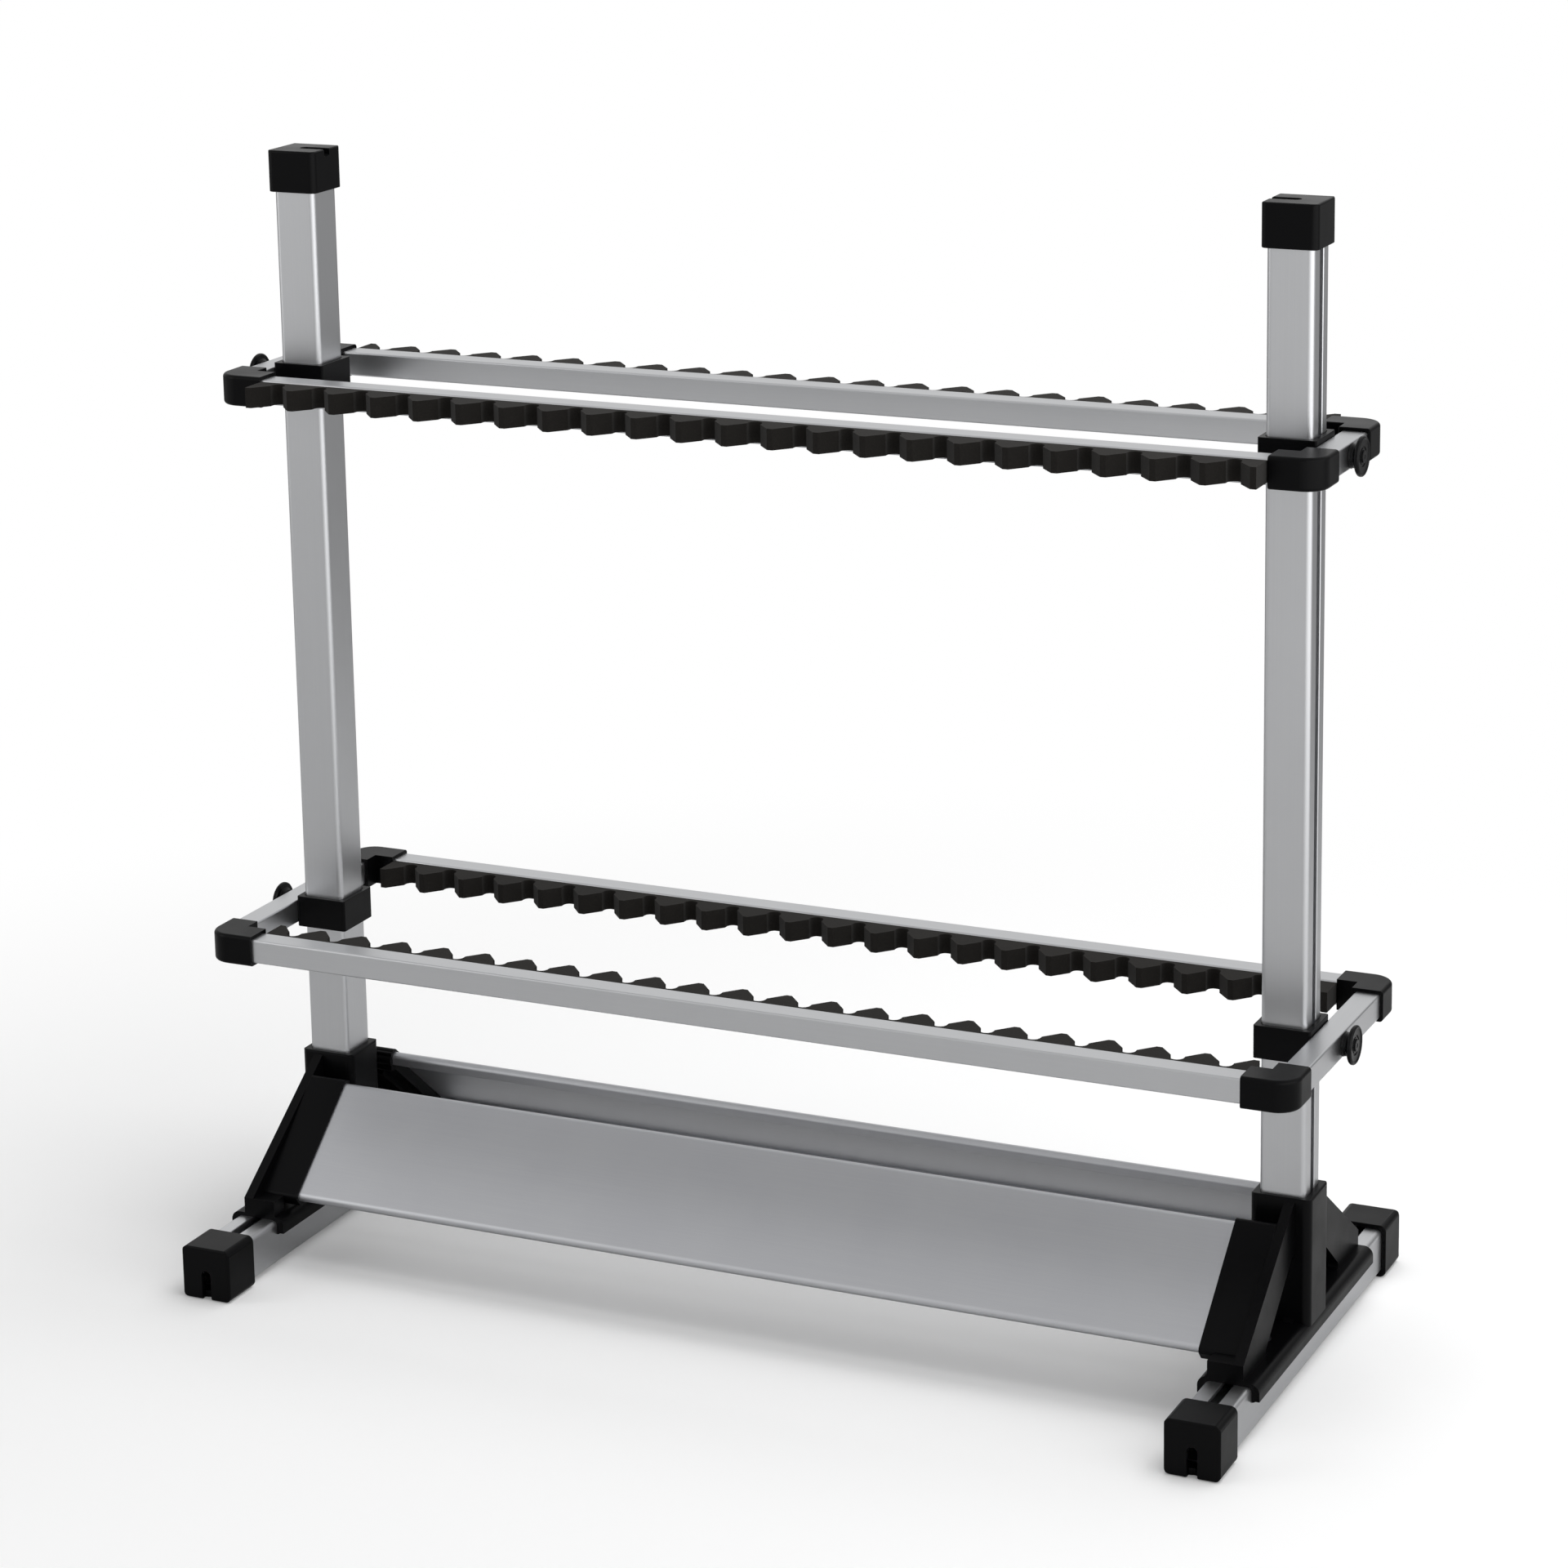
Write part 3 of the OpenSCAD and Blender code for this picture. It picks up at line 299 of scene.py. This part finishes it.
def extrudedAluminium(name, along, settings):
    material, tree, shader, place = startFinish(name)
    across = 1 / millimetres(settings["dieLineSpacing"])
    stretch = [across, across, across]
    stretch[along] = 1 / millimetres(settings["dieLineLength"])
    runs = addNode(tree, "ShaderNodeMapping", {"Scale": stretch}, {"Vector": place})
    lines = addNode(tree, "ShaderNodeTexNoise", {"Scale": 1.0, "Detail": 3.0, "Roughness": 0.6},
                    {"Vector": runs.outputs["Vector"]})
    clouds = addNode(tree, "ShaderNodeTexNoise",
                     {"Scale": 1 / millimetres(settings["cloudSize"]), "Detail": 2.0}, {"Vector": place})
    both = addNode(tree, "ShaderNodeMath", {"operation": "ADD"},
                   {0: lines.outputs["Fac"], 1: clouds.outputs["Fac"]})
    pale, deep = settings["toneSpread"]
    half = addNode(tree, "ShaderNodeMapRange", {"From Min": pale, "From Max": deep},
                   {"Value": both.outputs["Value"]})
    tone = addNode(tree, "ShaderNodeMix", {"data_type": "RGBA", 6: linearColour(settings["colour"]),
                                           7: linearColour(settings["colourDeep"])},
                   {0: half.outputs["Result"]})
    least, most = settings["glossSpread"]
    low, high = settings["roughness"]
    satin = addNode(tree, "ShaderNodeMapRange",
                    {"From Min": least, "From Max": most, "To Min": low, "To Max": high},
                    {"Value": lines.outputs["Fac"]})
    grooves = addNode(tree, "ShaderNodeBump", {"Strength": settings["dieLineStrength"],
                                               "Distance": millimetres(settings["dieLineDepth"])},
                      {"Height": lines.outputs["Fac"]})
    shader.inputs["Metallic"].default_value = 1.0
    tree.links.new(tone.outputs[2], shader.inputs["Base Color"])
    tree.links.new(satin.outputs["Result"], shader.inputs["Roughness"])
    tree.links.new(grooves.outputs["Normal"], shader.inputs["Normal"])
    return material


# Aluminium sheet, folded and satin anodised: like the bars, with the rolling grain along the shelf
sheetSettings = {
    "colour": "#c9cacd", "colourDeep": "#c5c6ca",
    "roughness": (0.42, 0.44),
    "dieLineSpacing": 0.8,     # mm, rolling grain drawn coarser than the real 0.1 mm so that it shows
    "dieLineLength": 120.0,    # mm
    "dieLineDepth": 0.0002,    # mm
    "dieLineStrength": 0.6,
    "cloudSize": 45.0,         # mm
    "toneSpread": (0.7, 1.3),
    "glossSpread": (0.3, 0.7),
}

# Glass-filled nylon, moulded in a spark-eroded tool: near black, semi-matt, with a fine even grain
nylonSettings = {
    "colour": "#070708", "colourDeep": "#050506",
    "roughness": (0.30, 0.37),
    "ior": 1.53,
    "specular": 0.08,          # the eroded grain scatters most of the gloss away
    "grain": 0.5,              # mm, drawn coarser than the real 0.1 mm grit so that it shows
    "grainDepth": 0.012,       # mm
    "grainStrength": 0.7,
    "cloudSize": 30.0,         # mm
    "glossSpread": (0.35, 0.65),   # of the clouds, from the one roughness to the other
}

# ABS, moulded and polished in the tool: a glossier black for the knobs that hands turn
absSettings = {
    "colour": "#08080a", "colourDeep": "#060607",
    "roughness": (0.26, 0.32),
    "ior": 1.54,
    "specular": 0.14,
    "grain": 0.4,              # mm
    "grainDepth": 0.003,       # mm
    "grainStrength": 0.7,
    "cloudSize": 12.0,         # mm
    "glossSpread": (0.35, 0.65),
}


def mouldedPlastic(name, settings):
    material, tree, shader, place = startFinish(name)
    grain = addNode(tree, "ShaderNodeTexNoise", {"Scale": 1 / millimetres(settings["grain"]), "Detail": 2.0},
                    {"Vector": place})
    clouds = addNode(tree, "ShaderNodeTexNoise",
                     {"Scale": 1 / millimetres(settings["cloudSize"]), "Detail": 3.0}, {"Vector": place})
    tone = addNode(tree, "ShaderNodeMix", {"data_type": "RGBA", 6: linearColour(settings["colour"]),
                                           7: linearColour(settings["colourDeep"])},
                   {0: clouds.outputs["Fac"]})
    low, high = settings["roughness"]
    least, most = settings["glossSpread"]
    matt = addNode(tree, "ShaderNodeMapRange",
                   {"From Min": least, "From Max": most, "To Min": low, "To Max": high},
                   {"Value": clouds.outputs["Fac"]})
    pits = addNode(tree, "ShaderNodeBump", {"Strength": settings["grainStrength"],
                                            "Distance": millimetres(settings["grainDepth"])},
                   {"Height": grain.outputs["Fac"]})
    shader.inputs["IOR"].default_value = settings["ior"]
    shader.inputs["Specular IOR Level"].default_value = settings["specular"]
    tree.links.new(tone.outputs[2], shader.inputs["Base Color"])
    tree.links.new(matt.outputs["Result"], shader.inputs["Roughness"])
    tree.links.new(pits.outputs["Normal"], shader.inputs["Normal"])
    return material


# EVA foam, cut from sheet: soft black-brown without gloss, its closed cells open on every cut face
foamSettings = {
    "colour": "#161412", "colourCells": "#211f1c",
    "roughness": 0.95,
    "specular": 0.2,
    "sheen": 0.05,
    "cell": 0.9,               # mm across a cell, drawn coarser than the real 0.3 mm so that it shows
    "cellDepth": 0.05,         # mm
    "cellStrength": 0.8,
    "cloudSize": 18.0,         # mm
}


def cutFoam(name, settings):
    material, tree, shader, place = startFinish(name)
    cells = addNode(tree, "ShaderNodeTexVoronoi", {"Scale": 1 / millimetres(settings["cell"])},
                    {"Vector": place})
    clouds = addNode(tree, "ShaderNodeTexNoise",
                     {"Scale": 1 / millimetres(settings["cloudSize"]), "Detail": 4.0}, {"Vector": place})
    mottle = addNode(tree, "ShaderNodeMath", {"operation": "MULTIPLY"},
                     {0: cells.outputs["Distance"], 1: clouds.outputs["Fac"]})
    tone = addNode(tree, "ShaderNodeMix", {"data_type": "RGBA", 6: linearColour(settings["colour"]),
                                           7: linearColour(settings["colourCells"])},
                   {0: mottle.outputs["Value"]})
    pits = addNode(tree, "ShaderNodeBump", {"Strength": settings["cellStrength"],
                                            "Distance": millimetres(settings["cellDepth"])},
                   {"Height": cells.outputs["Distance"]})
    shader.inputs["Roughness"].default_value = settings["roughness"]
    shader.inputs["Specular IOR Level"].default_value = settings["specular"]
    shader.inputs["Sheen Weight"].default_value = settings["sheen"]
    tree.links.new(tone.outputs[2], shader.inputs["Base Color"])
    tree.links.new(pits.outputs["Normal"], shader.inputs["Normal"])
    return material


# Zinc-plated steel, clear passivated: bright bluish grey
zincSettings = {
    "colour": "#b9bdc6", "colourDeep": "#9da1ab",
    "roughness": (0.24, 0.42),
    "mottle": 3.0,             # mm
    "glossSpread": (0.3, 0.7),
}

# Black oxide steel: a dark oily grey
blackSteelSettings = {
    "colour": "#232427", "colourDeep": "#191a1c",
    "roughness": (0.32, 0.5),
    "mottle": 2.0,             # mm
    "glossSpread": (0.3, 0.7),
}


def steel(name, settings):
    material, tree, shader, place = startFinish(name)
    mottle = addNode(tree, "ShaderNodeTexNoise",
                     {"Scale": 1 / millimetres(settings["mottle"]), "Detail": 3.0}, {"Vector": place})
    tone = addNode(tree, "ShaderNodeMix", {"data_type": "RGBA", 6: linearColour(settings["colour"]),
                                           7: linearColour(settings["colourDeep"])},
                   {0: mottle.outputs["Fac"]})
    low, high = settings["roughness"]
    least, most = settings["glossSpread"]
    gloss = addNode(tree, "ShaderNodeMapRange",
                    {"From Min": least, "From Max": most, "To Min": low, "To Max": high},
                    {"Value": mottle.outputs["Fac"]})
    shader.inputs["Metallic"].default_value = 1.0
    tree.links.new(tone.outputs[2], shader.inputs["Base Color"])
    tree.links.new(gloss.outputs["Result"], shader.inputs["Roughness"])
    return material


finishes = {
    "barAlongX": extrudedAluminium("Anodised aluminium extrusion, across the rack", 0, extrudedSettings),
    "barAlongY": extrudedAluminium("Anodised aluminium extrusion, front to rear", 1, extrudedSettings),
    "barAlongZ": extrudedAluminium("Anodised aluminium extrusion, upright", 2, extrudedSettings),
    "sheet": extrudedAluminium("Anodised aluminium sheet", 0, sheetSettings),
    "nylon": mouldedPlastic("Moulded black nylon", nylonSettings),
    "abs": mouldedPlastic("Moulded black ABS", absSettings),
    "foam": cutFoam("Cut black EVA foam", foamSettings),
    "zinc": steel("Zinc-plated steel", zincSettings),
    "blackSteel": steel("Black oxide steel", blackSteelSettings),
}
print("finishes are mixed:", len(finishes))


sides = ("left", "right")
ends = ("front", "rear")
levels = ("upper", "lower")

nodeFinishes = {
    "barAlongY": [f"{s}_foot_rail" for s in sides] + [f"{v}_{s}_tube" for v in levels for s in sides],
    "barAlongZ": [f"{s}_post" for s in sides],
    "barAlongX": [f"{v}_{e}_tube" for v in levels for e in ends],
    "sheet": [f"{e}_shelf" for e in ends],
    "nylon": ([f"{s}_{e}_foot_cap" for s in sides for e in ends] + [f"{s}_post_cap" for s in sides]
              + [f"{s}_base_bracket" for s in sides] + [f"{s}_{e}_shelf_cap" for s in sides for e in ends]
              + [f"{v}_{s}_{e}_connector" for v in levels for s in sides for e in ends]
              + [f"{v}_{s}_collar" for v in levels for s in sides]),
    "abs": [f"{v}_{s}_knob" for v in levels for s in sides],
    "foam": [f"{v}_{e}_comb" for v in levels for e in ends],
    "zinc": ([f"{v}_{s}_{p}" for v in levels for s in sides for p in ("stud", "slot_nut")]
             + ["bracket_slot_nuts"]),
    "blackSteel": ["bracket_screws", "post_screws", "shelf_cap_screws"],
}


def dress(obj, finish):
    obj.data.materials.clear()
    obj.data.materials.append(finishes[finish])


for finish, nodes in nodeFinishes.items():
    for node in nodes:
        dress(frame["nodes"][node], finish)
print("nodes have their finish:", sum(len(n) for n in nodeFinishes.values()))


def bakeShape(piece):
    # the piece keeps the shape that its modifiers give it, and loses the modifiers
    shaped = bpy.data.meshes.new_from_object(piece.evaluated_get(bpy.context.evaluated_depsgraph_get()))
    piece.modifiers.clear()
    piece.data = shaped
    shaped.name = piece.name


def makePiece(name, shape):
    # an object from a finished bmesh
    mesh = bpy.data.meshes.new(name)
    shape.to_mesh(mesh)
    shape.free()
    piece = bpy.data.objects.new(name, mesh)
    scene.collection.objects.link(piece)
    return piece


def smoothFaces(piece, sharpFrom=38):
    # rounded faces shade as one, and edges sharper than that many degrees stay sharp
    piece.data.shade_smooth()
    piece.data.set_sharp_from_angle(angle=math.radians(sharpFrom))


def settle(piece, node, finish):
    # the piece stands for its CAD node, moves with that node's body and shows its finish
    dress(piece, finish)
    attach(piece, frame["nodes"][node]["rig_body"])
    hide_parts(node)


# Mouldings: every edge that the tool leaves has a small radius, which catches the light
mouldingSettings = {
    # part: (radius in mm, nodes)
    "bracket": (1.2, [f"{s}_base_bracket" for s in sides]),
    "endCap": (0.5, ([f"{s}_{e}_foot_cap" for s in sides for e in ends]
                     + [f"{s}_post_cap" for s in sides])),
    "shelfCap": (0.8, [f"{s}_{e}_shelf_cap" for s in sides for e in ends]),
    "connector": (0.8, [f"{v}_{s}_{e}_connector" for v in levels for s in sides for e in ends]),
    "collar": (0.6, [f"{v}_{s}_collar" for v in levels for s in sides]),
}
edgeSettings = {
    "segments": 3,
    "sharpFrom": 32.0,    # degrees between two faces from which their edge is rounded
    "flat": 0.6,          # degrees up to which faces count as one
    "weld": 0.002,        # mm
}


def softenEdges(node, name, radius, settings):
    # a copy of the node's own mesh with its sharp edges rounded
    shape = bmesh.new()
    shape.from_mesh(frame["nodes"][node].data)
    bmesh.ops.remove_doubles(shape, verts=shape.verts, dist=millimetres(settings["weld"]))
    bmesh.ops.dissolve_limit(shape, angle_limit=math.radians(settings["flat"]),
                             verts=shape.verts, edges=shape.edges)
    piece = makePiece(name, shape)
    rounding = piece.modifiers.new("edgeRadius", "BEVEL")
    rounding.width = millimetres(radius)
    rounding.segments = settings["segments"]
    rounding.limit_method = "ANGLE"
    rounding.angle_limit = math.radians(settings["sharpFrom"])
    rounding.miter_outer = "MITER_ARC"
    bakeShape(piece)
    # rounding may lift a point by hundredths of a mm, and it stays in the node's box
    low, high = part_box(node)
    for point in piece.data.vertices:
        point.co = [min(max(value, a), b) for value, a, b in zip(point.co, low, high)]
    smoothFaces(piece)
    # the large faces shade flat up to their edges
    flats = piece.modifiers.new("flatFaces", "WEIGHTED_NORMAL")
    flats.keep_sharp = True
    bakeShape(piece)
    return piece


for part, (radius, nodes) in mouldingSettings.items():
    for node in nodes:
        settle(softenEdges(node, f"{node}_moulding", radius, edgeSettings), node, "nylon")
    print("moulded:", part, len(nodes))

# Combs: cut from foam sheet, so their edges give a little
combSettings = {"radius": 0.7, "fill": 1.0}    # mm, and 1 for tight
for level in levels:
    for end in ends:
        node = f"{level}_{end}_comb"
        foam = softenEdges(node, f"{node}_foam", combSettings["radius"], edgeSettings)
        settle(foam, node, "foam")
print("foam combs are cut")


def filletProfile(corners, steps=4, share=0.49):
    # corners of a turned profile as (radius, height, fillet) in mm; each fillet becomes a curve,
    # which takes no more than that share of either side
    points = []
    for i, (radius, height, fillet) in enumerate(corners):
        here = Vector((radius, height))
        if fillet == 0:
            points.append((radius, height))
            continue
        before, after = (Vector(corners[k][:2]) - here for k in (i - 1, i + 1))
        reach = min(fillet / math.tan(before.angle(after) / 2), before.length * share,
                    after.length * share)
        start, stop = here + before.normalized() * reach, here + after.normalized() * reach
        for k in range(steps + 1):
            t = k / steps
            points.append(tuple(start.lerp(here, t).lerp(here.lerp(stop, t), t)))
    return points


def ringStack(name, rows, columns, place, way, looped=False):
    # rings stacked along an axis: each row is (radius or a function of the turn, height) in mm,
    # and radius 0 is a point
    shape = bmesh.new()
    turn = Vector(way).to_track_quat("Z", "X").to_matrix()
    rings = []
    for radius, height in rows:
        if radius == 0:
            rings.append([shape.verts.new(turn @ Vector((0, 0, millimetres(height))) + Vector(place))])
            continue
        ring = []
        for j in range(columns):
            angle = 2 * math.pi * j / columns
            r = millimetres(radius(angle) if callable(radius) else radius)
            spot = Vector((r * math.cos(angle), r * math.sin(angle), millimetres(height)))
            ring.append(shape.verts.new(turn @ spot + Vector(place)))
        rings.append(ring)
    for lower, upper in zip(rings, rings[1:] + (rings[:1] if looped else [])):
        for j in range(columns):
            corners = [lower[j % len(lower)], lower[(j + 1) % len(lower)],
                       upper[(j + 1) % len(upper)], upper[j % len(upper)]]
            shape.faces.new(list(dict.fromkeys(corners)))
    bmesh.ops.recalc_face_normals(shape, faces=shape.faces)
    piece = makePiece(name, shape)
    smoothFaces(piece)
    return piece


def threadRows(radius, depth, pitch, start, stop, perPitch=6):
    # a screw thread: the groove winds round as the rows go up
    rows = []
    count = round((stop - start) / pitch * perPitch)
    for k in range(count + 1):
        height = start + (stop - start) * k / count
        # the thread runs out at both ends
        lead = min(height - start, stop - height, pitch) / pitch
        rows.append((lambda angle, h=height, w=lead: radius - depth * (
            1 - w + w * abs(2 * ((h / pitch - angle / (2 * math.pi)) % 1) - 1)), height))
    return rows


# Clamps: a moulded knob on a threaded stud, which turns in a square nut behind the lips of the post's slot
clampSettings = {
    "columns": 96,        # round the knob
    # turned outline of the knob from its blind bore outwards: radius, height, fillet
    "knob": [(0, 5.3, 0), (2.5, 5.3, 0), (2.5, 0, 0), (7.4, 0, 0.3), (6.8, 0.9, 0.8), (6.8, 2.6, 1.2),
             (8.4, 4.2, 1.2), (10.3, 4.2, 0.9), (11.2, 5.1, 0.9), (11.2, 6.4, 0.9), (10.2, 7.4, 0.7),
             (9.2, 6.5, 0.8), (5.8, 6.5, 0.15), (5.8, 6.0, 0.15), (4.6, 6.0, 0.15), (4.6, 6.5, 0.15),
             (3.6, 6.5, 0.15), (3.6, 7.4, 0.5), (1.4, 7.4, 0.3), (0.9, 7.1, 0.3), (0, 7.1, 0)],
    # mm; the tips are that much narrower, and the thread starts and ends that far from them
    "stud": {"radius": 2.5, "depth": 0.45, "pitch": 0.8, "length": 30.1, "columns": 24,
             "tip": 0.7, "threadStart": 0.25, "threadEnd": 0.05},
    "nut": {"half": 8.0, "chamfer": 1.2, "bore": 2.55, "boreEdge": 0.3, "thickness": 3.5,
            "edge": 0.35, "columns": 64},
}


def squareRadius(half, chamfer):
    # the distance to the edge of a square with cut corners, at each turn
    def radius(angle):
        across = max(abs(math.cos(angle)), abs(math.sin(angle)))
        corner = (abs(math.cos(angle)) + abs(math.sin(angle))) / (2 * half - chamfer)
        return 1 / max(across / half, corner)
    return radius


def innerMiddle(node, side):
    # the middle of the face of the node's box that looks to the rack's middle
    low, high = (Vector(corner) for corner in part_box(node))
    spot = (low + high) / 2
    spot.x = low.x if side == "right" else high.x
    return spot


def studRows(stud):
    narrow = stud["radius"] - stud["tip"]
    thread = threadRows(stud["radius"], stud["depth"], stud["pitch"], stud["threadStart"],
                        stud["length"] - stud["threadEnd"])
    return [(0, 0), (narrow, 0)] + thread + [(narrow, stud["length"]), (0, stud["length"])]


def nutRows(nut):
    rim, thick, bore, edge = nut["edge"], nut["thickness"], nut["bore"], nut["boreEdge"]
    flat = squareRadius(nut["half"], nut["chamfer"])
    inner = squareRadius(nut["half"] - rim, nut["chamfer"])
    return [(bore, edge), (bore + edge, 0), (inner, 0), (flat, rim), (flat, thick - rim),
            (inner, thick), (bore + edge, thick), (bore, thick - edge)]


clampPieces = {
    # CAD node: (piece, rows, columns, whether the last ring joins the first, finish)
    "knob": ("clamp_knob", filletProfile(clampSettings["knob"]), clampSettings["columns"], False, "abs"),
    "stud": ("clamp_stud", studRows(clampSettings["stud"]), clampSettings["stud"]["columns"], False, "zinc"),
    "slot_nut": ("clamp_nut", nutRows(clampSettings["nut"]), clampSettings["nut"]["columns"], True, "zinc"),
}
for level in levels:
    for side in sides:
        way = Vector((1 if side == "right" else -1, 0, 0))
        for part, (name, rows, columns, looped, finish) in clampPieces.items():
            node = f"{level}_{side}_{part}"
            turned = ringStack(f"{level}_{side}_{name}", rows, columns, innerMiddle(node, side), way, looped)
            settle(turned, node, finish)
print("clamps are in place")
